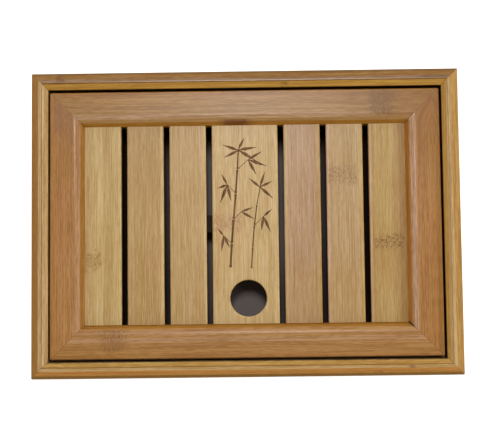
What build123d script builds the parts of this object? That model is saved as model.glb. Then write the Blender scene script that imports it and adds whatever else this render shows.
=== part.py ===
from build123d import *
import os

# Gongfu tea tray: a mitred bamboo box, a plastic water tray hung inside it, and a drop-in
# slatted panel on top. Millimetres, +Z up, X along the long side, +Y towards the back.
# The origin is on the ground under the middle of the box.

# Whole tray
tray_length = 350
tray_depth = 250
tray_height = 60
overrun = 1

# Moulded side boards of the box
rim_width = 14
board_lift = 6
crown_run = 7.2
crown_drop = 4.5
crown_round = 4
shoulder_round = 2.5
crest_width = 1.7
quirk_width = 0.6
quirk_depth = 0.6
bevel_drop = 2.6
board_arris = 0.8
box_corner_round = 1.2

# Base board, let into the side boards
base_thickness = 5
base_height = 12
base_groove_depth = 4
base_clearance = 0.3

# Feet and their screws
foot_inset = 35
foot_radius = 11
foot_bevel = 1.5
foot_well_radius = 5.5
foot_well_depth = 5
screw_radius = 1.8
screw_clearance = 0.1
screw_head_radius = 4
screw_head_height = 2.4
screw_bite = 4
cross_length = 4.4
cross_width = 1
cross_depth = 1.2

# Water tray and the ledger strips that carry it
ledger_width = 6
ledger_height = 8
flange_clearance = 1
flange_thickness = 1.6
flange_corner = 5
basin_clearance = 1.5
basin_corner = 16
basin_wall = 2
basin_draft = 6
basin_foot_round = 4
basin_under_gap = 1.5

# Drop-in panel
panel_gap_x = 1.7
panel_gap_y = 1.9
panel_shift_x = -0.35
panel_shift_y = -0.55
panel_drop = 3
rail_width = 27.7
rail_height = 18
rail_outer_round = 1
rail_inner_round = 7
rail_wall_run = 4
panel_corner_round = 2
groove_depth = 6
tongue_clearance = 0.3

# Slats
slat_drop = 7.5
slat_thickness = 8
slat_arris = 0.8
tongue_thickness = 4
wide_slat_width = 54
slot_width = 5
narrow_slats_each_side = 3
hole_radius = 15
hole_land = 5.65
hole_shift = 1.8
hole_bevel = 0.8

# Cleat under two of the slats
cleat_depth = 14
cleat_lap = 12
cleat_thickness = 5
cleat_shift = 1.1
cleat_bevel = 1.5

# Splines hidden in the mitres
box_spline_width = 10
box_spline_thickness = 3
box_spline_margin = 4
panel_spline_width = 10
panel_spline_length = 12
panel_spline_thickness = 3
panel_spline_inset = 10.8

# Levels and lengths that follow
opening_length = tray_length - 2 * rim_width
opening_depth = tray_depth - 2 * rim_width
shoulder_z = tray_height - crown_drop
base_top = base_height + base_thickness
rail_top = tray_height - panel_drop
rail_bottom = rail_top - rail_height
flange_bottom = rail_bottom - flange_thickness
ledger_bottom = flange_bottom - ledger_height
basin_bottom = base_top + basin_under_gap
slat_top = rail_top - slat_drop
slat_bottom = slat_top - slat_thickness
tongue_bottom = slat_bottom + (slat_thickness - tongue_thickness) / 2
panel_length = opening_length - 2 * panel_gap_x
panel_depth = opening_depth - 2 * panel_gap_y
field_length = panel_length - 2 * rail_width
field_depth = panel_depth - 2 * rail_width
tongue_reach = groove_depth - tongue_clearance
narrow_slats = 2 * narrow_slats_each_side
narrow_slat_width = (field_length - wide_slat_width - narrow_slats * slot_width) / narrow_slats

box_centre = Vector(0, 0, 0)
panel_centre = Vector(panel_shift_x, panel_shift_y, 0)

inward = {
    "front": Vector(0, 1, 0),
    "back": Vector(0, -1, 0),
    "left": Vector(1, 0, 0),
    "right": Vector(-1, 0, 0),
}

os.makedirs("parts", exist_ok=True)


def save(piece, name):
    """Label one finished piece and write its file."""
    piece.part.label = name
    export_step(piece.part, f"parts/{name}.step")


def side_plane(direction, length, depth, centre):
    """Section plane across the middle of one side of a frame, x inwards and y up."""
    reach = (depth if direction.Y else length) / 2
    along = direction.cross(Vector(0, 0, 1))
    return Plane(origin=centre - direction * reach, x_dir=direction, z_dir=along)


def side_run(direction, length, depth):
    """Length of one side of a frame along its outer edge."""
    return length if direction.Y else depth


def round_corners(length, depth, radius, centre, low, high):
    """Keep of the rail being built what lies within an outline with round corners."""
    with BuildSketch(Plane(centre).offset(low)) as outline:
        RectangleRounded(length, depth, radius)
    extrude(outline.sketch, amount=high - low, mode=Mode.INTERSECT)


def cut_mitres(plane, run):
    """Cut both ends of the rail being built at 45 degrees, from its outer corners."""
    for along in (plane.z_dir, -plane.z_dir):
        corner = plane.origin + along * (run / 2)
        split(bisect_by=Plane(origin=corner, z_dir=plane.x_dir + along), keep=Keep.BOTTOM)


def corner_places(length, depth, inset, centre):
    """The four corners of a frame, each turned so that x crosses the mitre."""
    places = []
    for side_x in (-1, 1):
        for side_y in (-1, 1):
            x = centre.X + side_x * (length / 2 - inset)
            y = centre.Y + side_y * (depth / 2 - inset)
            places.append(Location((x, y, 0), (0, 0, -45 * side_x * side_y)))
    return places


# Box: four moulded boards. The section has a soft outer slope, a narrow crest, a fine quirk
# line and a bevel that falls to the opening, with a groove lower down for the base. The
# mitres start at the outer corners, which are eased in plan.
box_spline_bottom = base_top + box_spline_margin
box_spline_height = shoulder_z - box_spline_margin - box_spline_bottom
box_corners = corner_places(tray_length, tray_depth, rim_width / 2, box_centre)


def box_spline_prisms(mode):
    """The four upright splines across the mitres of the box."""
    with BuildSketch(Plane.XY.offset(box_spline_bottom)) as sections:
        with Locations(*box_corners):
            Rectangle(box_spline_width, box_spline_thickness)
    extrude(sections.sketch, amount=box_spline_height, mode=mode)


for side, direction in inward.items():
    plane = side_plane(direction, tray_length, tray_depth, box_centre)
    run = side_run(direction, tray_length, tray_depth)
    quirk_start = crown_run + crest_width
    quirk_end = quirk_start + quirk_width
    groove_wall = rim_width - base_groove_depth
    with BuildPart() as board:
        with BuildSketch(plane):
            with BuildLine():
                FilletPolyline(
                    (0, board_lift),
                    (0, shoulder_z),
                    (crown_run, tray_height),
                    (quirk_start, tray_height),
                    ((quirk_start + quirk_end) / 2, tray_height - quirk_depth),
                    (quirk_end, tray_height),
                    (rim_width, tray_height - bevel_drop),
                    (rim_width, base_top),
                    (groove_wall, base_top),
                    (groove_wall, base_height),
                    (rim_width, base_height),
                    (rim_width, board_lift),
                    radius=[0, shoulder_round, crown_round, 0, 0, 0, board_arris, 0, 0, 0, 0, 0],
                    close=True,
                )
            make_face()
        extrude(amount=run / 2, both=True)
        cut_mitres(plane, run)
        round_corners(tray_length, tray_depth, box_corner_round, box_centre, board_lift, tray_height)
        box_spline_prisms(Mode.SUBTRACT)
    save(board, f"box_{side}")

with BuildPart() as box_corner_splines:
    box_spline_prisms(Mode.ADD)
save(box_corner_splines, "box_corner_splines")

# Ledger strips: glued inside the boards under the flange of the water tray. The front and
# back ones run the full length and the side ones fit between them.
for side, direction in inward.items():
    plane = side_plane(direction, opening_length, opening_depth, box_centre)
    run = side_run(direction, opening_length, opening_depth - 2 * ledger_width)
    with BuildPart() as ledger:
        with BuildSketch(plane):
            with Locations((ledger_width / 2, ledger_bottom + ledger_height / 2)):
                Rectangle(ledger_width, ledger_height)
        extrude(amount=run / 2, both=True)
    save(ledger, f"ledger_{side}")

# Base board, held all round in the groove of the boards and drilled for the foot screws
foot_x = tray_length / 2 - foot_inset
foot_y = tray_depth / 2 - foot_inset
base_growth = 2 * (base_groove_depth - base_clearance)
with BuildPart() as base_board:
    with BuildSketch(Plane.XY.offset(base_height)):
        Rectangle(opening_length + base_growth, opening_depth + base_growth)
    extrude(amount=base_thickness)
    with BuildSketch(Plane.XY.offset(base_height)):
        with GridLocations(2 * foot_x, 2 * foot_y, 2, 2):
            Circle(screw_radius + screw_clearance)
    extrude(amount=screw_bite + screw_clearance, mode=Mode.SUBTRACT)
save(base_board, "base_board")

# Rubber feet: round bumpers with a well for the head of the screw
for name, x, y in (
    ("front_left", -foot_x, -foot_y),
    ("front_right", foot_x, -foot_y),
    ("back_left", -foot_x, foot_y),
    ("back_right", foot_x, foot_y),
):
    with BuildPart() as foot:
        with BuildSketch(Plane(origin=(x, y, 0), x_dir=(1, 0, 0), z_dir=(0, -1, 0))):
            with BuildLine():
                Polyline(
                    (screw_radius + screw_clearance, foot_well_depth),
                    (foot_well_radius, foot_well_depth),
                    (foot_well_radius, 0),
                    (foot_radius - foot_bevel, 0),
                    (foot_radius, foot_bevel),
                    (foot_radius, base_height),
                    (screw_radius + screw_clearance, base_height),
                    close=True,
                )
            make_face()
        revolve(axis=Axis((x, y, 0), (0, 0, 1)))
    save(foot, f"foot_{name}")

# Foot screws: flat round heads with a cross recess, seated in the wells of the feet
head_bottom = foot_well_depth - screw_head_height
with BuildPart() as foot_screws:
    with BuildSketch(Plane.XY.offset(head_bottom)):
        with GridLocations(2 * foot_x, 2 * foot_y, 2, 2):
            Circle(screw_head_radius)
    extrude(amount=screw_head_height)
    with BuildSketch(Plane.XY.offset(head_bottom)):
        with GridLocations(2 * foot_x, 2 * foot_y, 2, 2):
            Rectangle(cross_length, cross_width)
            Rectangle(cross_width, cross_length)
    extrude(amount=cross_depth, mode=Mode.SUBTRACT)
    with BuildSketch(Plane.XY.offset(foot_well_depth)):
        with GridLocations(2 * foot_x, 2 * foot_y, 2, 2):
            Circle(screw_radius)
    extrude(amount=base_height - foot_well_depth + screw_bite)
save(foot_screws, "foot_screws")

# Water tray: a drafted basin with round corners, hung by its flange on the ledger strips
basin_length = opening_length - 2 * (ledger_width + basin_clearance)
basin_depth = opening_depth - 2 * (ledger_width + basin_clearance)
flange_length = opening_length - 2 * flange_clearance
flange_depth = opening_depth - 2 * flange_clearance
with BuildPart() as water_tray:
    with BuildSketch(Plane.XY.offset(rail_bottom)):
        RectangleRounded(basin_length, basin_depth, basin_corner)
    extrude(amount=-(rail_bottom - basin_bottom), taper=basin_draft)
    fillet(water_tray.edges().group_by(Axis.Z)[0], basin_foot_round)
    with BuildSketch(Plane.XY.offset(flange_bottom)):
        RectangleRounded(flange_length, flange_depth, flange_corner)
    extrude(amount=flange_thickness)
    with BuildPart(mode=Mode.PRIVATE) as hollow:
        with BuildSketch(Plane.XY.offset(rail_bottom)):
            RectangleRounded(
                basin_length - 2 * basin_wall, basin_depth - 2 * basin_wall, basin_corner - basin_wall
            )
        extrude(amount=-(rail_bottom - basin_bottom - basin_wall), taper=basin_draft)
        fillet(hollow.edges().group_by(Axis.Z)[0], basin_foot_round - basin_wall)
    add(hollow.part, mode=Mode.SUBTRACT)
save(water_tray, "water_tray")

# Panel rails: flat on top, a small outer arris, a broad soft round towards the middle and a
# wall that leans down to the slats, with a groove under it for their tongues.
panel_spline_bottom = tongue_bottom + (tongue_thickness - panel_spline_thickness) / 2
panel_corners = corner_places(panel_length, panel_depth, panel_spline_inset, panel_centre)


def panel_spline_prisms(mode):
    """The four flat splines across the mitres of the panel."""
    with BuildSketch(Plane.XY.offset(panel_spline_bottom)) as sections:
        with Locations(*panel_corners):
            Rectangle(panel_spline_width, panel_spline_length)
    extrude(sections.sketch, amount=panel_spline_thickness, mode=mode)


for side, direction in inward.items():
    plane = side_plane(direction, panel_length, panel_depth, panel_centre)
    run = side_run(direction, panel_length, panel_depth)
    groove_back = rail_width - groove_depth
    with BuildPart() as rail:
        with BuildSketch(plane):
            with BuildLine():
                FilletPolyline(
                    (0, rail_bottom),
                    (0, rail_top),
                    (rail_width - rail_wall_run, rail_top),
                    (rail_width, slat_top),
                    (rail_width, tongue_bottom + tongue_thickness),
                    (groove_back, tongue_bottom + tongue_thickness),
                    (groove_back, tongue_bottom),
                    (rail_width, tongue_bottom),
                    (rail_width, rail_bottom),
                    radius=[0, rail_outer_round, rail_inner_round, 0, 0, 0, 0, 0, 0],
                    close=True,
                )
            make_face()
        extrude(amount=run / 2, both=True)
        cut_mitres(plane, run)
        round_corners(
            panel_length, panel_depth, panel_corner_round, panel_centre, rail_bottom, rail_top
        )
        panel_spline_prisms(Mode.SUBTRACT)
    save(rail, f"panel_{side}")

with BuildPart() as panel_corner_splines:
    panel_spline_prisms(Mode.ADD)
save(panel_corner_splines, "panel_corner_splines")

# Slats: bamboo strips with eased edges and a tongue at each end. The two outer ones have a
# tongue along their outer edge too. The wide middle one has the finger hole.
slat_widths = [narrow_slat_width] * narrow_slats_each_side
slat_widths = slat_widths + [wide_slat_width] + slat_widths
field_left = panel_centre.X - field_length / 2
hole_x = panel_centre.X + hole_shift
hole_y = panel_centre.Y - field_depth / 2 + hole_land + hole_radius

slat_left = field_left
for number, width in enumerate(slat_widths, 1):
    slat_x = slat_left + width / 2
    first = number == 1
    last = number == len(slat_widths)
    reach_left = tongue_reach if first else 0
    reach_right = tongue_reach if last else 0
    with BuildPart() as slat:
        with BuildSketch(Plane.XY.offset(slat_bottom)):
            with Locations((slat_x, panel_centre.Y)):
                Rectangle(width, field_depth)
        extrude(amount=slat_thickness)
        long_edges = slat.edges().filter_by(Axis.Y).sort_by(Axis.X)
        if first:
            long_edges = long_edges[2:]
        if last:
            long_edges = long_edges[:2]
        chamfer(long_edges, slat_arris)
        with BuildSketch(Plane.XY.offset(tongue_bottom)):
            with Locations((slat_x + (reach_right - reach_left) / 2, panel_centre.Y)):
                Rectangle(width + reach_left + reach_right, field_depth + 2 * tongue_reach)
        extrude(amount=tongue_thickness)
        if width == wide_slat_width:
            with BuildSketch(Plane.XY.offset(slat_bottom - overrun)):
                with Locations((hole_x, hole_y)):
                    Circle(hole_radius)
            extrude(amount=slat_thickness + 2 * overrun, mode=Mode.SUBTRACT)
            chamfer(slat.edges().filter_by(GeomType.CIRCLE), hole_bevel)
    save(slat, f"slat_{number}")
    slat_left = slat_left + width + slot_width

# Cleat: a short block glued under the wide slat and its left neighbour
cleat_length = slot_width + 2 * cleat_lap
cleat_x = panel_centre.X - wide_slat_width / 2 - slot_width / 2
cleat_y = panel_centre.Y + cleat_shift
with BuildPart() as slat_cleat:
    with BuildSketch(Plane.XY.offset(slat_bottom - cleat_thickness)):
        with Locations((cleat_x, cleat_y)):
            Rectangle(cleat_length, cleat_depth)
    extrude(amount=cleat_thickness)
    chamfer(slat_cleat.edges().group_by(Axis.Z)[0], cleat_bevel)
save(slat_cleat, "slat_cleat")
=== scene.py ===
from collections import namedtuple
import math

import bpy
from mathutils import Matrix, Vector


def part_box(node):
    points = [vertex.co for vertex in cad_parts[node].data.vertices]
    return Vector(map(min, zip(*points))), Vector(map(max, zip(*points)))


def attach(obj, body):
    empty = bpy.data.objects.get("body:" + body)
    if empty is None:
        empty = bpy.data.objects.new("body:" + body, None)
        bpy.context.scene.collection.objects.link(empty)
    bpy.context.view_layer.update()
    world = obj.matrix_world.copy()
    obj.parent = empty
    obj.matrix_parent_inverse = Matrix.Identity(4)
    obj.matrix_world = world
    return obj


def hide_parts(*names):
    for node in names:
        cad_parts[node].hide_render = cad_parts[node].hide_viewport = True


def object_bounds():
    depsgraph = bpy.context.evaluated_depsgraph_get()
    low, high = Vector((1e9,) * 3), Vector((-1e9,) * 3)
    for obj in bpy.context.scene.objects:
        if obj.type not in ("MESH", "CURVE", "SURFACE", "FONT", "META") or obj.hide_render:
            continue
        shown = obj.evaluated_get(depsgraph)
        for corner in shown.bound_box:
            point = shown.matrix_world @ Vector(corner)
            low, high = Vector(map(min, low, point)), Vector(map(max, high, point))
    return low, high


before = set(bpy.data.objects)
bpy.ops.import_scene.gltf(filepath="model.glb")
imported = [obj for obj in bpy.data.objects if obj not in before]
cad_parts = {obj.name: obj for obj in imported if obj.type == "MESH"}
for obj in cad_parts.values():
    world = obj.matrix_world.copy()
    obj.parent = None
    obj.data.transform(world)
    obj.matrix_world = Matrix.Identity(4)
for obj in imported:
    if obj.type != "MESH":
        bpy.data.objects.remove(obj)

cad_low, cad_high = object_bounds()

# Camera: the tray is seen from nearly straight above, from about a metre, with a longish
# lens. The camera stands a little in front of the middle and looks slightly to the back.
camera_place = (0.0136, -0.0795, 1.0530)
camera_turn = (4.597, 0.641, -0.687)
lens_mm = 88.56
sensor_mm = 36

bpy.ops.object.camera_add(location=camera_place, rotation=[math.radians(a) for a in camera_turn])
camera = bpy.context.object
camera.data.lens = lens_mm
camera.data.sensor_width = sensor_mm
bpy.context.scene.camera = camera
bpy.context.scene.view_settings.view_transform = "Standard"

# Lights: a soft box over the back edge, which the varnish of the back rail mirrors, a wide
# box on the right, and an even room whose ceiling is dark and whose walls are bright.
back_lamp = {"place": (0.0, 0.66, 1.9), "width": 0.34, "depth": 0.48, "power": 15}
right_lamp = {"place": (1.25, -0.10, 1.15), "width": 1.0, "depth": 1.0, "power": 7}
wall_level = 1.12
ceiling_level = 0.10
# Where the walls end and the ceiling begins, as the sine of the angle above the horizon
wall_end = 0.36
ceiling_start = 0.82


class Wire:
    """A value on its way through a material. Sums and products of wires add their nodes."""

    def __init__(self, tree, socket=None):
        self.tree = tree
        self.socket = socket

    def node(self, kind, settings, values, output=0):
        """One node: its settings, then the values or links of its sockets, by name or place."""
        made = self.tree.nodes.new(kind)
        for setting, value in settings.items():
            setattr(made, setting, value)
        for socket, value in values.items():
            if isinstance(value, Wire):
                value.feed(made, socket)
            else:
                made.inputs[socket].default_value = value
        return Wire(self.tree, made.outputs[output])

    def feed(self, node, socket):
        """Link this value to a socket of a shader or of another node."""
        self.tree.links.new(self.socket, node.inputs[socket])

    def maths(self, operation, *values):
        """A Math node on the values, in their order."""
        return self.node("ShaderNodeMath", {"operation": operation}, dict(enumerate(values)))

    def __add__(self, other):
        return self.maths("ADD", self, other)

    def __radd__(self, other):
        return self.maths("ADD", other, self)

    def __sub__(self, other):
        return self.maths("SUBTRACT", self, other)

    def __rsub__(self, other):
        return self.maths("SUBTRACT", other, self)

    def __mul__(self, other):
        return self.maths("MULTIPLY", self, other)

    def __rmul__(self, other):
        return self.maths("MULTIPLY", other, self)

    def __abs__(self):
        return self.maths("ABSOLUTE", self)

    def axes(self):
        """The x, the y and the z of this vector."""
        return [self.node("ShaderNodeSeparateXYZ", {}, {"Vector": self}, axis) for axis in "XYZ"]

    def rise(self, low, high):
        """0 below low, 1 above high, and a smooth step between them."""
        values = {"Value": self, "From Min": low, "From Max": high}
        return self.node("ShaderNodeMapRange", {"interpolation_type": "SMOOTHSTEP"}, values)

    def span(self, low, high, soft):
        """1 between low and high, with edges that fade over twice the soft width."""
        return self.rise(low - soft, low + soft) * (1 - self.rise(high - soft, high + soft))

    def clamp(self, highest=1.0):
        """This value, held between 0 and the highest."""
        return self.maths("MINIMUM", self.maths("MAXIMUM", self, 0.0), highest)

    def mix(self, first, second, blend="MIX"):
        """The first colour where this value is 0, and the second or their blend where it is 1."""
        # 6, 7 and 2 are the places of the colour sockets. A Mix node has others of their names
        settings = {"data_type": "RGBA", "blend_type": blend}
        return self.node("ShaderNodeMix", settings, {"Factor": self, 6: first, 7: second}, 2)

    def emboss(self, shader, depth):
        """Raise the surface of a shader where this value is high, by so many metres."""
        bump = self.node("ShaderNodeBump", {}, {"Height": self, "Distance": depth})
        bump.feed(shader, "Normal")


def soft_box(name, place, width, depth, power):
    """A rectangular lamp that looks at the middle of the tray."""
    aim = Vector((0, 0, cad_high.z)) - Vector(place)
    turn = aim.to_track_quat("-Z", "Y").to_euler()
    bpy.ops.object.light_add(type="AREA", location=place, rotation=turn)
    lamp = bpy.context.object
    lamp.name = name
    lamp.data.shape = "RECTANGLE"
    lamp.data.size = width
    lamp.data.size_y = depth
    lamp.data.energy = power


soft_box("back_box", **back_lamp)
soft_box("right_box", **right_lamp)

world = bpy.data.worlds.new("room")
world.use_nodes = True
room = world.node_tree.nodes["Background"]
room.inputs["Color"].default_value = (1, 1, 1, 1)
room_start = Wire(world.node_tree)
height = room_start.node("ShaderNodeTexCoord", {}, {}, "Generated").axes()[2]
seen = room_start.node("ShaderNodeLightPath", {}, {}, "Is Camera Ray")
level = wall_level - height.rise(wall_end, ceiling_start) * (wall_level - ceiling_level)
seen.maths("MAXIMUM", seen, level).feed(room, "Strength")
bpy.context.scene.world = world

# Floor: a plain pale table top, wide enough for every view. The camera sees it white, and
# it keeps the soft shadow of the tray.
floor_size = 8
floor_tone = 0.8
floor_roughness = 0.9
floor_glow = 0.74


def new_material(name):
    """A bare material, with its shader node and its object coordinates."""
    material = bpy.data.materials.new(name)
    material.use_nodes = True
    shader = material.node_tree.nodes["Principled BSDF"]
    place = Wire(material.node_tree).node("ShaderNodeTexCoord", {}, {}, "Object")
    return material, shader, place


def srgb(red, green, blue):
    """A colour written as screen values from 0 to 255."""
    shares = [value / 255 for value in (red, green, blue)]
    lit = [s / 12.92 if s < 0.04045 else ((s + 0.055) / 1.055) ** 2.4 for s in shares]
    return (*lit, 1)


bpy.ops.mesh.primitive_plane_add(size=floor_size, location=(0, 0, 0))
floor = bpy.context.object
floor.name = "floor"
floor_paint, floor_shader, floor_place = new_material("floor_paint")
floor_shader.inputs["Base Color"].default_value = (floor_tone, floor_tone, floor_tone, 1)
floor_shader.inputs["Roughness"].default_value = floor_roughness
floor_shader.inputs["Emission Strength"].default_value = 1
seen = floor_place.node("ShaderNodeLightPath", {}, {}, "Is Camera Ray")
# The floor also glows to glossy rays, so the varnish mirrors it brighter than the lamps light it: a
# painted reflection
mirrored = floor_place.node("ShaderNodeLightPath", {}, {}, "Is Glossy Ray")
((seen + mirrored) * floor_glow).feed(floor_shader, "Emission Color")
floor.data.materials.append(floor_paint)

# Box boards: four moulded boards of pressed bamboo, mitred and glued at the corners. The
# brown tone comes from steaming the bamboo, and a satin varnish lies over it.
strip_width = 0.021
varnish_roughness = 0.3
bare_shine = 0.15
fibre_depth = 0.00005
# The roughness of bare wood between its fibres, and how much smoother it is on them
wood_roughness = 0.66
fibre_polish = 0.2
# The share of its varnish that a leaning face lacks
soaked_in = 0.85
# How much each layer of the grain adds to its tone
fibre_contrast = 1.7
strand_contrast = 1.8
line_contrast = 0.55
band_contrast = 0.5
strip_contrast = 0.14
pore_depth = 0.35
seam_depth = 0.3
# The colour of the deepest and the palest grain, of its pinker lines, of an old ring, of the
# glue in a mitre and of the painted shade on a leaning face, as shares of the colour of the board
deep_share = (0.80, 0.72, 0.55)
pale_share = (1.12, 1.17, 1.32)
blush_share = (1.02, 0.97, 1.08)
ring_share = (0.60, 0.46, 0.26)
glue_share = (0.45, 0.36, 0.25)
moulded_lean_shade = (0.94, 0.88, 0.72)
# The cosines between which a face stops counting as leaning and as upright, and those
# between which it starts counting as flat
moulded_lean = (0.88, 0.94)
upright_lean = (0.2, 0.5)
flat_lean = (0.90, 0.97)
# How far the fibres wander and curl, and how ragged the edges of marks and knots are
wander = 0.0012
curl_reach = 0.006
raggedness = 0.012
mark_fray = 0.06
knot_side_fray = 0.15
knot_end_fray = 90
# How far the edges of marks and knots fade. The ends of a longer mark fade over more of it
mark_soft = 0.0006
mark_fade = 0.0015
fade_share = 0.2
longest_fade = 0.015
knot_soft = 0.0012
knot_core = 0.25
# A mark is this strong between the strands and by so much stronger on them. Smoke is this
# weak between its mottles, and no knot hides the wood more than so much
least_stain = 0.7
strand_stain = 0.6
least_smoke = 0.25
most_dirt = 0.9
# How strong the dark lines and the old rings of an arch are
arch_line_depth = 0.3
ring_strength = 0.5
# How far from a mitre its glue and its split start to fade and are gone, and their strength
glue_reach = (0.00015, 0.0006)
glue_strength = 0.45
crack_reach = (0.0004, 0.0012)
crack_strength = 0.95
crack_dark = srgb(30, 14, 6)
# The heights between which the painted shade in a joint comes up, and those between which it ends
gap_shade_start = (0.041, 0.048)
gap_shade_end = (0.0540, 0.0570)
gap_shade_soft = 0.001
gap_shade_dark = srgb(28, 9, 2)
# The char of an engraved floor starts between the first two depths and ends between the
# next two, and the field that holds it has a soft edge
char_start = (0.00016, 0.00004)
char_end = (0.0007, 0.0005)
field_soft = 0.0005
char_strength = 0.95
char_deep = srgb(84, 54, 30)
char_pale = srgb(128, 88, 54)

# A mark is a stain from low to high across the grain. It runs all along the board, or from
# start to end. A knot is a place along the grain, a span across it, half a length, and how
# much it smokes, curls and dots the wood.
Mark = namedtuple("Mark", "low high colour share start end", defaults=(None, None))
Knot = namedtuple("Knot", "centre low high half_length smoke curl dots")


def paint(node, material):
    """Give a CAD node its finish."""
    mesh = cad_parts[node].data
    mesh.materials.clear()
    mesh.materials.append(material)


def shade(colour, shares):
    """A colour with each channel times its share."""
    return (*(min(value * share, 1) for value, share in zip(colour, shares)), 1)


def grained(tone, colour, tint=(1, 1, 1)):
    """A tinted colour that follows the tone of the grain, from deep to pale."""
    deep = [share * part for share, part in zip(deep_share, tint)]
    pale = [share * part for share, part in zip(pale_share, tint)]
    return tone.mix(shade(colour, deep), shade(colour, pale))


def bamboo(name, grain, colour, seed, streaks=1.0, varnish=0.85, steep=moulded_lean_shade,
           lean=moulded_lean, marks=(), knots=(), side_knots=(), knot_colour=None, low_z=0.0,
           mitre=None, crack=None, arch=None, gap_shade=None, burnt=None):
    """Pressed bamboo: strips, long fibres, bundles and the knuckles of the cane.

    grain is the axis that the fibres follow, and seed sets one board apart from the next.
    streaks strengthens the grain. The tint for leaning faces, by the cosines in lean, paints
    shade where its shares are below 1 and a highlight where they are above.
    Marks and knots lie above low_z. A side knot is on an upright face, and its span is one
    of heights. mitre is half the length, half the depth and the centre of the frame whose
    corners are glued, and crack is the stretch over which a front corner has opened. An arch
    closes the grain over its middle line, between two places and by a height. The painted shade
    of a joint is half a length, half a depth and a share: it darkens the upright faces inside them.
    burnt is the top, the half width and the low end of an engraved field.
    """
    material, shader, place = new_material(name)
    x, y, z = place.axes()
    along, across = (x, y) if grain == "X" else (y, x)
    up = place.node("ShaderNodeTexCoord", {}, {}, "Normal").axes()[2]
    upper = z.rise(low_z - 0.001, low_z)
    upright = 1 - abs(up).rise(*upright_lean)

    def noise(wide, long, detail=2.0, shift=0.0):
        """Noise that follows the fibres, in patches so many metres wide and long."""
        spot = place.node("ShaderNodeCombineXYZ", {}, {
            "X": (drift + shift) * (1 / wide), "Y": (along + seed) * (1 / long), "Z": z * (1 / wide)})
        return place.node("ShaderNodeTexNoise", {}, {"Vector": spot, "Scale": 1.0, "Detail": detail})

    # The fibres wander a little, and close over where there is an arch
    drift = across + z + seed
    if arch:
        arch_middle, arch_low, arch_high, arch_height = arch
        closing = along.rise(arch_low, arch_high) * arch_height
        drift = abs(across - arch_middle) + closing + z + seed
    drift = drift + (noise(wide=0.02, long=0.09, detail=1.0) - 0.5) * wander
    ragged = (noise(wide=0.0030, long=0.0040, shift=0.91) - 0.5) * raggedness

    # In a knot they curl, and the wood is smoked and dotted
    smoke = curl = dots = 0.0
    places = [(knot, across, upper) for knot in knots] + [(knot, z, upright) for knot in side_knots]
    for knot, reach, shown in places:
        end = abs(along - knot.centre + ragged * (knot.half_length * knot_end_fray))
        swollen = 1 - end.rise(knot.half_length * knot_core, knot.half_length)
        swollen = swollen * (reach + ragged * knot_side_fray).span(knot.low, knot.high, knot_soft)
        swollen = swollen * shown
        smoke = swollen * knot.smoke + smoke
        curl = swollen * knot.curl + curl
        dots = swollen * knot.dots + dots
    if places:
        swirl = noise(wide=0.0030, long=0.0034, detail=1.0, shift=0.3) - 0.5
        drift = drift + swirl * curl * curl_reach

    # The grain is laid up from single fibres to broad bands, with short dark pores
    fibres = noise(wide=0.0006, long=0.0090)
    strands = noise(wide=0.0009, long=0.050, detail=1.5, shift=0.11)
    lines = noise(wide=0.0020, long=0.15, detail=1.5, shift=0.23)
    bands = noise(wide=0.0065, long=0.30, detail=1.0, shift=0.37)
    hue = noise(wide=0.0019, long=0.16, detail=1.5, shift=0.53)
    pores = noise(wide=0.0007, long=0.0080, detail=1.0, shift=0.71).rise(0.62, 0.72)

    # The board is glued up of strips, each with its own tone and a thin seam to the next
    strips = drift * (1 / strip_width)
    number = strips.maths("FLOOR", strips)
    strip_tone = place.node("ShaderNodeTexWhiteNoise", {"noise_dimensions": "1D"}, {"W": number})
    seam = abs(strips.maths("FRACT", strips) - 0.5).rise(0.487, 0.4985)

    tone = (fibres - 0.5) * fibre_contrast + (strands - 0.5) * strand_contrast
    tone = tone + (lines - 0.5) * line_contrast + (bands - 0.5) * band_contrast
    tone = tone * streaks + (strip_tone - 0.5) * strip_contrast + 0.5
    tone = tone - pores * pore_depth - seam * seam_depth
    if arch:
        closed = along.rise(arch_low - 0.05, arch_high)
        tone = tone - lines.rise(0.46, 0.58) * closed * arch_line_depth
    tone = tone.clamp()
    wood = hue.rise(0.35, 0.65).mix(grained(tone, colour), grained(tone, colour, blush_share))

    # Marks and knots stain the wood, and let some of the grain through
    for mark in marks:
        patch = (across + ragged * mark_fray).span(mark.low, mark.high, mark_soft)
        if mark.start is not None:
            fade = min(mark_fade + (mark.end - mark.start) * fade_share, longest_fade)
            patch = patch * (along + ragged).span(mark.start, mark.end, fade)
        stain = patch * upper * (least_stain + strands * strand_stain) * mark.share
        wood = stain.mix(wood, grained(tone, mark.colour))
    if places:
        mottle = noise(wide=0.0019, long=0.0034, detail=3.0, shift=0.87).rise(0.36, 0.66)
        specks = noise(wide=0.0010, long=0.0013, detail=1.0, shift=0.97).rise(0.52, 0.62)
        dirt = smoke * (least_smoke + mottle * (1 - least_smoke)) + dots * specks
        wood = dirt.clamp(most_dirt).mix(wood, knot_colour)
    if arch:
        rings = noise(wide=0.0016, long=0.12, detail=1.0, shift=0.41).rise(0.50, 0.58)
        rings = rings * along.rise(arch_low - 0.06, arch_high - 0.02) * up.rise(*flat_lean)
        wood = (rings * ring_strength).mix(wood, shade(colour, ring_share))

    # A mitre shows a thin line of glue, and a dark split where it has opened
    if mitre:
        half_x, half_y, centre_x, centre_y = mitre
        gap = abs((half_x - abs(x - centre_x)) - (half_y - abs(y - centre_y)))
        glue = 1 - gap.rise(*glue_reach)
        wood = (glue * glue_strength).mix(wood, shade(colour, glue_share))
        if crack:
            split = (1 - gap.rise(*crack_reach)) * x.span(*crack, mark_soft)
            split = split * (1 - y.rise(-0.01, 0.0))
            wood = (split * crack_strength).mix(wood, crack_dark)
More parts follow.
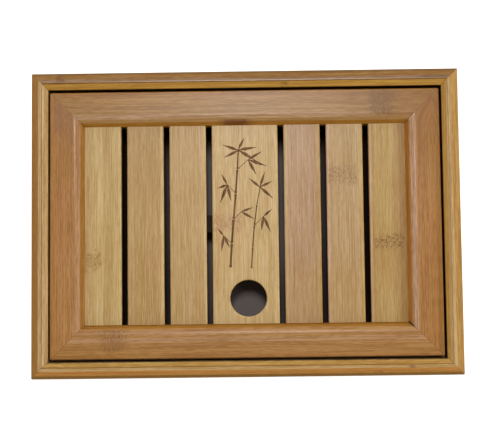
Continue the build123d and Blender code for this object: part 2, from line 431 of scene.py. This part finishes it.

    # A leaning face gets painted shade on boards and rails and a painted highlight on slats, and holds
    # less varnish than a flat one
    slope = 1 - up.rise(*lean)
    wood = slope.mix(wood, (*steep, 1), "MULTIPLY")
    coat = varnish - slope * (varnish * soaked_in)
    # Painted shade: the upright faces inside a joint are darkened between two heights
    if gap_shade:
        half_x, half_y, gap_shade_share = gap_shade
        joint = upright * z.rise(*gap_shade_start) * (1 - z.rise(*gap_shade_end))
        joint = joint * (1 - abs(x).rise(half_x, half_x + gap_shade_soft))
        joint = joint * (1 - abs(y).rise(half_y, half_y + gap_shade_soft))
        wood = (joint * gap_shade_share).mix(wood, gap_shade_dark)

    # The floor of an engraved cut is charred and has no varnish
    if burnt:
        top, half_width, low_end = burnt
        field = 1 - abs(x).rise(half_width, half_width + field_soft)
        field = field * y.rise(low_end - field_soft, low_end)
        sunk = 1 - z.rise(top - char_start[0], top - char_start[1])
        sunk = sunk * z.rise(top - char_end[0], top - char_end[1])
        charred = field * sunk
        char = strands.rise(0.3, 0.7).mix(char_deep, char_pale)
        wood = (charred * char_strength).mix(wood, char)
        coat = coat * (1 - charred)

    wood.feed(shader, "Base Color")
    coat.feed(shader, "Coat Weight")
    (wood_roughness - fibres * fibre_polish).feed(shader, "Roughness")
    relief = fibres * 0.5 + strands * 0.5
    if places:
        relief = relief - dots * specks * 0.6
    relief.emboss(shader, fibre_depth)
    shader.inputs["Coat Roughness"].default_value = varnish_roughness
    shader.inputs["Specular IOR Level"].default_value = bare_shine
    return material


box_mitre = (0.175, 0.125, 0.0, 0.0)
box_opening = (0.1615, 0.1115)
shoulder_z = 0.0525
# Painted shade for the dark line in a groove or a corner, and a painted highlight that lightens a
# groove
crease_painted_shade = srgb(104, 66, 26)
quirk_glint = srgb(210, 178, 134)
scuff = srgb(84, 54, 32)
knuckle_brown = srgb(112, 74, 34)


def knuckle(centre, low, high):
    """A knuckle of the cane on the outer face of a board, between two heights."""
    return Knot(centre, low, high, 0.005, smoke=0.3, curl=1.0, dots=0.5)


def finish_board(board, grain, colour, seed, joint_shade, **detail):
    """Stain and varnish one board of the box, with painted shade inside where the panel drops in."""
    paint(board, bamboo(f"{board}_bamboo", grain, colour, seed, streaks=1.45, low_z=shoulder_z,
                        knot_colour=knuckle_brown, mitre=box_mitre,
                        gap_shade=(*box_opening, joint_shade), **detail))


# Front board: painted shade darkens the outer slope towards its edge, the groove, and the inner edge
# into the gap; a painted highlight lightens the crest
finish_board("box_front", "X", srgb(186, 151, 82), 0.31, joint_shade=1.0, marks=(
    Mark(-0.1262, -0.1222, srgb(126, 88, 22), 0.9),
    Mark(-0.1222, -0.1185, srgb(186, 126, 56), 0.8),
    Mark(-0.1185, -0.1163, srgb(196, 160, 112), 0.7),
    Mark(-0.1161, -0.1153, crease_painted_shade, 0.15),
    Mark(-0.1120, -0.1100, srgb(40, 18, 4), 0.95),
    Mark(-0.1190, -0.1165, scuff, 0.6, start=0.130, end=0.133),
    Mark(-0.1222, -0.1208, scuff, 0.6, start=0.105, end=0.108),
), side_knots=(knuckle(-0.095, 0.030, 0.050), knuckle(0.062, 0.006, 0.028)))
# Back board: painted shade darkens the outer slope, its edge and the groove; a painted sheen greys a
# band beside the crest
finish_board("box_back", "X", srgb(186, 144, 66), 0.77, joint_shade=0.9, marks=(
    Mark(0.1158, 0.1262, srgb(138, 100, 58), 0.85),
    Mark(0.1234, 0.1262, srgb(112, 80, 34), 0.7),
    Mark(0.1165, 0.1195, srgb(150, 118, 92), 0.5),
    Mark(0.1200, 0.1222, srgb(166, 124, 66), 0.5),
    Mark(0.1153, 0.1161, crease_painted_shade, 0.4),
    Mark(0.1170, 0.1185, scuff, 0.55, start=0.141, end=0.169),
    Mark(0.1225, 0.1255, srgb(120, 92, 48), 0.5, start=0.040, end=0.120),
), knots=(
    Knot(-0.151, 0.1160, 0.1255, 0.006, smoke=0.7, curl=1.0, dots=0.4),
    Knot(0.033, 0.1110, 0.1155, 0.005, smoke=0.6, curl=0.8, dots=0.2),
), side_knots=(knuckle(0.110, 0.028, 0.049), knuckle(-0.040, 0.006, 0.028)))
# Left board: painted shade darkens the outer slope; painted highlights lighten the crest and the
# groove
finish_board("box_left", "Y", srgb(188, 157, 106), 1.13, joint_shade=0.35, marks=(
    Mark(-0.1762, -0.1685, srgb(156, 108, 34), 0.9),
    Mark(-0.1690, -0.1675, srgb(206, 174, 132), 0.7),
    Mark(-0.1656, -0.1646, quirk_glint, 0.8),
), side_knots=(knuckle(0.048, 0.029, 0.050),))
# Right board: painted shade darkens the bevel; painted highlights lighten the crest and the groove
finish_board("box_right", "Y", srgb(180, 142, 76), 1.61, joint_shade=0.9, marks=(
    Mark(0.1600, 0.1640, srgb(174, 134, 64), 0.6),
    Mark(0.1642, 0.1670, srgb(192, 160, 118), 0.6),
    Mark(0.1654, 0.1662, quirk_glint, 0.8),
), side_knots=(knuckle(-0.055, 0.006, 0.029),))

# Corner splines: slips of plain bamboo glued in slots across the mitres. They are hidden
# once the box is closed, and their raw wood has no stain and hardly any varnish.
raw_bamboo = bamboo("spline_bamboo", "Y", srgb(198, 164, 112), 2.07, varnish=0.1)
paint("box_corner_splines", raw_bamboo)

# Base board: thin bamboo ply that slides in a groove of the four boards before the last
# corner is glued. It is sealed but not stained.
paint("base_board", bamboo("base_bamboo", "X", srgb(196, 160, 104), 2.51, varnish=0.4))

# Ledger strips: square strips of plain bamboo, glued inside the boards to carry the flange
# of the water tray. Each is cut along the side that it lies on.
ledger_straw = srgb(184, 144, 88)
for number, (side, grain) in enumerate((("front", "X"), ("back", "X"), ("left", "Y"), ("right", "Y"))):
    finish = bamboo(f"ledger_{side}_bamboo", grain, ledger_straw, 3.1 + number * 0.4, varnish=0.3)
    paint(f"ledger_{side}", finish)

# Feet: bumpers moulded in matt black rubber, one under each corner of the base board. The
# rubber has a fine grain from its mould and a little grey dust.
rubber_grain_depth = 0.00004


def speckle(place, scale, detail):
    """Noise that runs alike in all directions, in so many patches to the metre."""
    return place.node("ShaderNodeTexNoise", {}, {"Vector": place, "Scale": scale, "Detail": detail})


rubber, rubber_shader, rubber_place = new_material("foot_rubber")
rubber_dust = speckle(rubber_place, 130.0, 4.0)
rubber_dust.rise(0.45, 0.75).mix(srgb(34, 34, 35), srgb(62, 60, 58)).feed(rubber_shader, "Base Color")
(0.62 + rubber_dust * 0.25).feed(rubber_shader, "Roughness")
speckle(rubber_place, 1400.0, 3.0).emboss(rubber_shader, rubber_grain_depth)
for corner in ("front_left", "front_right", "back_left", "back_right"):
    paint(f"foot_{corner}", rubber)

# Foot screws: zinc plated steel, turned on a lathe, with a cross recess pressed into each
# head. The plating is a little cloudy.
steel, steel_shader, steel_place = new_material("screw_steel")
steel_cloud = speckle(steel_place, 420.0, 3.0)
steel_cloud.mix(srgb(168, 170, 174), srgb(214, 214, 210)).feed(steel_shader, "Base Color")
(0.24 + steel_cloud * 0.22).feed(steel_shader, "Roughness")
steel_shader.inputs["Metallic"].default_value = 1.0
paint("foot_screws", steel)

# Water tray: one shell of dark grey plastic, drawn with sloping walls so that it leaves its
# mould. The skin has a fine leathery grain. Its colour holds painted light: it is paler in the
# middle and under the finger hole, and darker at the sides, at the back and towards the front,
# as painted shade.
tray_shine = 0.03
tray_grain_depth = 0.00008
plastic, plastic_shader, plastic_place = new_material("tray_plastic")
tray_x, tray_y = plastic_place.axes()[:2]
tray_cloud = speckle(plastic_place, 24.0, 4.0)
middle = (1 - abs(tray_x + 0.003).rise(0.0, 0.10)) * (0.7 + tray_cloud * 0.6)
middle = middle * (1 - tray_y.rise(0.052, 0.075))
middle = middle * (0.42 + tray_y.rise(-0.065, 0.005) * 0.58)
painted_hole_light = (1 - abs(tray_x).rise(0.014, 0.026)) * (1 - tray_y.rise(-0.050, -0.025)) * 0.55
(middle + painted_hole_light).mix(srgb(33, 20, 16), srgb(130, 121, 118)).feed(plastic_shader, "Base Color")
(0.60 + tray_cloud * 0.16).feed(plastic_shader, "Roughness")
plastic_shader.inputs["Specular IOR Level"].default_value = tray_shine
tray_grain = plastic_place.node("ShaderNodeTexVoronoi", {}, {"Vector": plastic_place, "Scale": 900.0})
tray_grain.emboss(plastic_shader, tray_grain_depth)
paint("water_tray", plastic)

# Panel rails: four rails of browner steamed bamboo, mitred like a picture frame, with a soft
# round and a wall that leads down to the slats. The wall is darkened with painted shade.
panel_mitre = (0.1593, 0.1091, -0.00035, -0.00055)
panel_edge = (0.1650, 0.1150)
# Painted sheen: a pinkish tint along the round of a rail
rail_painted_sheen = srgb(188, 154, 126)
rail_honey = srgb(156, 104, 38)
rail_ochre = srgb(150, 98, 14)
open_corner = (0.1300, 0.1350)


def finish_rail(rail, grain, colour, seed, **detail):
    """Stain and varnish one rail of the panel, with painted shade on its outer face."""
    paint(rail, bamboo(f"{rail}_bamboo", grain, colour, seed, streaks=1.8, mitre=panel_mitre,
                       gap_shade=(*panel_edge, 0.55), **detail))


# Front rail: painted shade in the corner at the foot of its wall and along its outer edge by the gap,
# and a painted sheen on its flat near the round
finish_rail("panel_front", "X", srgb(166, 120, 62), 2.31, steep=(0.90, 0.82, 0.40), lean=(0.66, 0.78),
            varnish=0.55, crack=open_corner, knot_colour=srgb(112, 70, 30), marks=(
                Mark(-0.0827, -0.0818, crease_painted_shade, 0.7),
                Mark(-0.1105, -0.1045, rail_honey, 0.45),
                Mark(-0.1105, -0.1088, srgb(62, 34, 10), 0.6),
                Mark(-0.1045, -0.1000, rail_honey, 0.2),
                Mark(-0.0960, -0.0925, rail_painted_sheen, 0.25),
            ), knots=(Knot(-0.108, -0.1030, -0.0860, 0.015, smoke=0.36, curl=3.6, dots=0.5),))
# Back rail: a painted sheen along its round
finish_rail("panel_back", "X", srgb(159, 118, 61), 2.77, steep=(1.00, 0.86, 0.36), lean=(0.58, 0.66),
            varnish=0.5, knot_colour=srgb(104, 66, 24), marks=(
                Mark(0.1030, 0.1095, rail_honey, 0.45),
                Mark(0.1055, 0.1100, srgb(146, 92, 20), 0.4),
                Mark(0.0860, 0.0895, rail_painted_sheen, 0.5),
                Mark(0.0980, 0.1030, rail_honey, 0.2),
                Mark(0.0860, 0.1095, srgb(144, 92, 18), 0.4, start=0.112, end=0.170),
                Mark(0.0860, 0.1100, srgb(134, 92, 38), 0.3, start=0.080, end=0.160),
                Mark(0.0806, 0.0850, srgb(96, 46, 16), 0.75, start=-0.018, end=0.004),
            ), knots=(Knot(0.112, 0.0870, 0.1080, 0.015, smoke=0.7, curl=2.4, dots=0.15),))
# Left rail: a painted sheen along its round
finish_rail("panel_left", "Y", srgb(166, 115, 54), 3.13, steep=(0.95, 1.00, 0.98), lean=(0.66, 0.78),
            varnish=0.75, knot_colour=srgb(132, 84, 50), marks=(
                Mark(-0.1605, -0.1400, rail_ochre, 0.55, start=0.035, end=0.125),
                Mark(-0.1605, -0.1540, rail_honey, 0.45),
                Mark(-0.1540, -0.1495, rail_honey, 0.15),
                Mark(-0.1560, -0.1400, srgb(184, 138, 84), 0.25, start=-0.100, end=-0.020),
                Mark(-0.1397, -0.1372, rail_painted_sheen, 0.2),
            ), knots=(Knot(0.088, -0.1560, -0.1400, 0.020, smoke=0.6, curl=1.2, dots=0.35),))
# Right rail: a painted sheen along its round
finish_rail("panel_right", "Y", srgb(165, 115, 57), 3.61, steep=(0.96, 0.80, 0.36), lean=(0.52, 0.64),
            varnish=0.55, crack=open_corner, arch=(0.1530, 0.080, 0.112, 0.015), marks=(
                Mark(0.1515, 0.1600, rail_honey, 0.5),
                Mark(0.1550, 0.1605, srgb(132, 84, 0), 0.5),
                Mark(0.1460, 0.1515, rail_honey, 0.15),
                Mark(0.1348, 0.1388, rail_painted_sheen, 0.65),
                Mark(0.1400, 0.1600, rail_ochre, 0.5, start=0.050, end=0.125),
            ))

# Panel splines: flat slips of raw bamboo glued across the mitres of the rails, out of sight
# once the panel is together.
paint("panel_corner_splines", raw_bamboo)

# Slats: straight strips of pale pressed bamboo, planed, eased along their edges and held by
# tongues in the grooves of the rails. Each was cut from another cane, so their tones differ.
slat_varnish = 0.35
# Painted highlights: the slats' leaning edges are lightened, and the pink and gold tints lighten
# single arrises. The straw tint is a paler strip in one place and a painted highlight on arrises
# elsewhere. The brown tint is a browner strip in places and painted shade beside a wall elsewhere.
slat_edge_painted_highlight = (1.08, 1.06, 1.00)
slat_straw_and_highlight = srgb(206, 176, 122)
slat_painted_highlight = srgb(204, 166, 138)
slat_brown_and_wall_shade = srgb(160, 118, 66)
slat_painted_gold_light = srgb(192, 156, 84)
slat_honey = srgb(180, 140, 76)


def finish_slat(slat, colour, seed, **detail):
    """Varnish one slat, with painted shade on its sides, and hand back its bamboo."""
    finish = bamboo(f"{slat}_bamboo", "Y", colour, seed, varnish=slat_varnish, steep=slat_edge_painted_highlight,
                    gap_shade=(*panel_edge, 0.6), **detail)
    paint(slat, finish)
    return finish


# Slat 1: painted shade beside the left wall and a painted highlight on its right arris; its other
# straw and brown tints are paler and browner strips
finish_slat("slat_1", srgb(193, 163, 102), 4.10, knot_colour=srgb(146, 108, 44), marks=(
    Mark(-0.1325, -0.1290, slat_brown_and_wall_shade, 0.15),
    Mark(-0.1240, -0.1170, slat_straw_and_highlight, 0.4),
    Mark(-0.1170, -0.1090, slat_brown_and_wall_shade, 0.22),
    Mark(-0.1042, -0.1021, slat_straw_and_highlight, 0.8),
), knots=(Knot(-0.029, -0.1325, -0.1190, 0.010, smoke=0.35, curl=2.4, dots=0.7),))
# Slat 2: a painted highlight on its right arris
finish_slat("slat_2", srgb(184, 150, 94), 4.47, marks=(
    Mark(-0.0698, -0.0672, slat_straw_and_highlight, 0.8),
    Mark(-0.0975, -0.0672, slat_brown_and_wall_shade, 0.16, start=0.020, end=0.085),
))
# Slat 3: a painted highlight on its right arris
finish_slat("slat_3", srgb(189, 157, 102), 4.84, marks=(
    Mark(-0.0345, -0.0323, slat_straw_and_highlight, 0.7),
))
# Slat 5: a painted highlight on its left arris and painted golden light on its right one
finish_slat("slat_5", srgb(179, 144, 104), 5.21, marks=(
    Mark(0.0316, 0.0345, slat_straw_and_highlight, 0.5),
    Mark(0.0590, 0.0615, slat_painted_gold_light, 0.5),
    Mark(0.0316, 0.0615, slat_honey, 0.35, start=-0.090, end=-0.035),
))
# Slat 6: a painted highlight on its left arris and painted golden light on its right one
finish_slat("slat_6", srgb(184, 152, 102), 5.58, knot_colour=srgb(134, 98, 60), marks=(
    Mark(0.0665, 0.0690, slat_painted_highlight, 0.7),
    Mark(0.0852, 0.0900, slat_brown_and_wall_shade, 0.3, start=-0.090, end=0.000),
    Mark(0.0665, 0.0964, slat_honey, 0.28, start=-0.090, end=-0.035),
    Mark(0.0940, 0.0964, slat_painted_gold_light, 0.6),
), knots=(Knot(0.0385, 0.0680, 0.0905, 0.012, smoke=0.35, curl=0.6, dots=0.45),))
# Slat 7: a painted highlight on its left arris, and painted shade that darkens its right part towards
# the wall
finish_slat("slat_7", srgb(183, 150, 88), 5.95, knot_colour=srgb(122, 76, 34), marks=(
    Mark(0.1014, 0.1032, slat_painted_highlight, 0.6),
    Mark(0.1036, 0.1052, slat_brown_and_wall_shade, 0.4),
    Mark(0.1212, 0.1250, slat_brown_and_wall_shade, 0.3),
    Mark(0.1252, 0.1315, slat_brown_and_wall_shade, 0.65),
), knots=(Knot(-0.0166, 0.1045, 0.1290, 0.008, smoke=0.22, curl=0.8, dots=0.95),))

# Wide slat: the same bamboo with a sprig engraved in it. A hot tool sinks canes and leaves a
# third of a millimetre deep and browns the floor of each cut.
slat_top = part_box("slat_4")[1].z
cut_depth = 0.00035
cut_rise = 0.0006
field_half = 0.0245
field_low = -0.0425
mm_per_metre = 1000
weld_reach = 0.000001
flat_degrees = 0.5
smooth_degrees = 25


def deselect():
    """Leave edit mode with nothing selected."""
    if bpy.context.object and bpy.context.object.mode == "EDIT":
        bpy.ops.object.mode_set(mode="OBJECT")
    bpy.ops.object.select_all(action="DESELECT")


def pick(mesh, test):
    """Select the points of a mesh that pass a test, and enter edit mode."""
    bpy.ops.object.mode_set(mode="EDIT")
    bpy.ops.mesh.select_all(action="DESELECT")
    bpy.ops.object.mode_set(mode="OBJECT")
    for point in mesh.vertices:
        point.select = test(point.co)
    bpy.ops.object.mode_set(mode="EDIT")


def narrow(share):
    """Bring the picked points nearer to the middle line of a cutter."""
    bpy.ops.transform.resize(value=(1, share, 1), center_override=(0.5, 0, 0))
    bpy.ops.object.mode_set(mode="OBJECT")


def place_copy(cutter, root, angle, length, width):
    """A copy of a cutter with its own mesh, turned about its root and sized in millimetres."""
    copy = bpy.data.objects.new(cutter.name + "_copy", cutter.data.copy())
    bpy.context.collection.objects.link(copy)
    copy.location = (root[0] / mm_per_metre, root[1] / mm_per_metre, slat_top)
    copy.rotation_euler = (0, 0, angle)
    copy.scale = (length / mm_per_metre, width / mm_per_metre, 1)
    return copy


# Both cutters are one metre long and wide before they are sized. The leaf swells near its
# root and runs out to a point, and the cane is waisted between its rings
cutter_height = cut_depth + cut_rise
cutter_middle = (cut_rise - cut_depth) / 2
deselect()
bpy.ops.mesh.primitive_cylinder_add(vertices=18, radius=0.5, depth=cutter_height,
                                    location=(0.5, 0, cutter_middle))
leaf = bpy.context.object
leaf.name = "leaf_cutter"
bpy.ops.object.transform_apply(location=True, rotation=True, scale=True)
for reach, share in ((0.35, 0.86), (0.6, 0.74), (0.8, 0.6)):
    pick(leaf.data, lambda point: point.x > reach)
    narrow(share)
pick(leaf.data, lambda point: point.x < 0.2)
narrow(0.7)
deselect()

bpy.ops.mesh.primitive_cube_add(size=1, location=(0.5, 0, 0))
cane = bpy.context.object
cane.name = "cane_cutter"
bpy.ops.object.transform_apply(location=True, rotation=True, scale=True)
bpy.ops.object.mode_set(mode="EDIT")
bpy.ops.mesh.select_all(action="SELECT")
bpy.ops.transform.resize(value=(1, 1, cutter_height), center_override=(0, 0, 0))
bpy.ops.transform.translate(value=(0, 0, cutter_middle))
bpy.ops.mesh.subdivide(number_cuts=5)
bpy.ops.object.mode_set(mode="OBJECT")
pick(cane.data, lambda point: 0.1 < point.x < 0.9)
narrow(0.72)
deselect()

# Canes and twigs as their root, their tip and their width, in millimetres
canes = (
    ((-13.0, -36.0), (-11.8, -17.0), 2.4), ((-11.7, -16.2), (-10.1, 3.0), 2.3),
    ((-10.0, 3.8), (-8.2, 24.0), 2.1), ((-8.1, 24.8), (-6.6, 44.0), 1.9),
    ((-6.5, 44.7), (-5.6, 61.0), 1.5),
    ((4.2, -37.0), (5.2, -20.0), 1.5), ((5.3, -19.4), (6.9, -2.0), 1.4),
    ((7.0, -1.4), (9.2, 15.0), 1.2), ((9.3, 15.5), (12.0, 30.0), 1.0),
    ((-8.0, 24.4), (-15.0, 32.0), 0.7), ((-6.5, 44.3), (2.5, 52.5), 0.7),
    ((-11.7, -16.6), (-18.5, -10.0), 0.7), ((7.0, -1.7), (14.5, 5.5), 0.6),
    ((-10.0, 3.4), (-3.5, 9.5), 0.6),
)
# Leaves as their root, the way that they point in degrees, their length and their width
leaves = (
    ((-5.6, 61.0), 62, 11, 2.2), ((-5.5, 60.5), 8, 15, 2.7), ((-5.5, 60.3), -32, 17, 3.0),
    ((-5.7, 60.2), 160, 14, 2.6), ((-5.7, 60.0), 206, 13, 2.6),
    ((2.5, 52.5), 30, 13, 2.4), ((2.6, 52.3), -20, 16, 2.9), ((2.4, 52.1), -62, 14, 2.7),
    ((-15.0, 32.0), 118, 10, 2.1), ((-15.1, 31.8), 200, 8.5, 2.2), ((-15.0, 31.6), 248, 16, 2.9),
    ((-14.8, 31.5), 282, 14, 2.6),
    ((12.0, 30.0), 72, 13, 2.4), ((12.1, 29.8), 24, 11, 2.3), ((12.0, 29.5), -42, 14, 2.7),
    ((11.8, 29.5), 140, 12, 2.3),
    ((14.5, 5.5), 40, 9, 2.1), ((14.4, 5.3), -66, 14, 2.6), ((14.2, 5.3), -98, 12, 2.4),
    ((-18.5, -10.0), 128, 8, 1.9), ((-18.4, -10.2), 262, 13, 2.5), ((-18.2, -10.3), 296, 11, 2.3),
    ((-3.5, 9.5), 20, 10, 2.1), ((-3.5, 9.3), -30, 12, 2.4),
)
cutters = []
for root, tip, width in canes:
    run = (tip[0] - root[0], tip[1] - root[1])
    cutters.append(place_copy(cane, root, math.atan2(run[1], run[0]), math.hypot(*run), width))
for root, turn, length, width in leaves:
    cutters.append(place_copy(leaf, root, math.radians(turn), length, width))
deselect()
for cutter in cutters:
    cutter.select_set(True)
bpy.context.view_layer.objects.active = cutters[0]
bpy.ops.object.join()
sprig = bpy.context.object
bpy.ops.object.transform_apply(location=True, rotation=True, scale=True)
deselect()

# The slat is copied, its loose triangles are joined up, and the sprig is cut out of it
wide_slat = bpy.data.objects.new("slat_4_engraved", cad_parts["slat_4"].data.copy())
bpy.context.collection.objects.link(wide_slat)
bpy.context.view_layer.objects.active = wide_slat
wide_slat.select_set(True)
bpy.ops.object.mode_set(mode="EDIT")
bpy.ops.mesh.select_all(action="SELECT")
bpy.ops.mesh.remove_doubles(threshold=weld_reach)
bpy.ops.mesh.customdata_custom_splitnormals_clear()
bpy.ops.mesh.dissolve_limited(angle_limit=math.radians(flat_degrees))
bpy.ops.object.mode_set(mode="OBJECT")
cut = wide_slat.modifiers.new("engraving", "BOOLEAN")
cut.operation = "DIFFERENCE"
cut.solver = "EXACT"
cut.use_self = True
cut.object = sprig
bpy.ops.object.modifier_apply(modifier="engraving")
bpy.ops.object.shade_smooth_by_angle(angle=math.radians(smooth_degrees))
for tool in (sprig, leaf, cane):
    bpy.data.objects.remove(tool)
deselect()

# Wide slat: painted highlights on both arrises
wide_finish = finish_slat("slat_4", srgb(199, 169, 113), 6.61, knot_colour=srgb(162, 112, 78), marks=(
    Mark(-0.0273, -0.0240, slat_straw_and_highlight, 0.5),
    Mark(0.0228, 0.0266, slat_straw_and_highlight, 0.5),
), knots=(Knot(0.0, -0.0273, -0.0040, 0.010, smoke=0.55, curl=0.8, dots=0.2),),
    burnt=(slat_top, field_half, field_low))
wide_slat.data.materials.clear()
wide_slat.data.materials.append(wide_finish)
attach(wide_slat, "panel")
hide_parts("slat_4")

# Cleat: a short block of dark stained bamboo, glued under the wide slat and its neighbour.
# It shows only as a dark patch in one slot.
paint("slat_cleat", bamboo("cleat_bamboo", "X", srgb(42, 27, 15), 7.3, varnish=0.02))
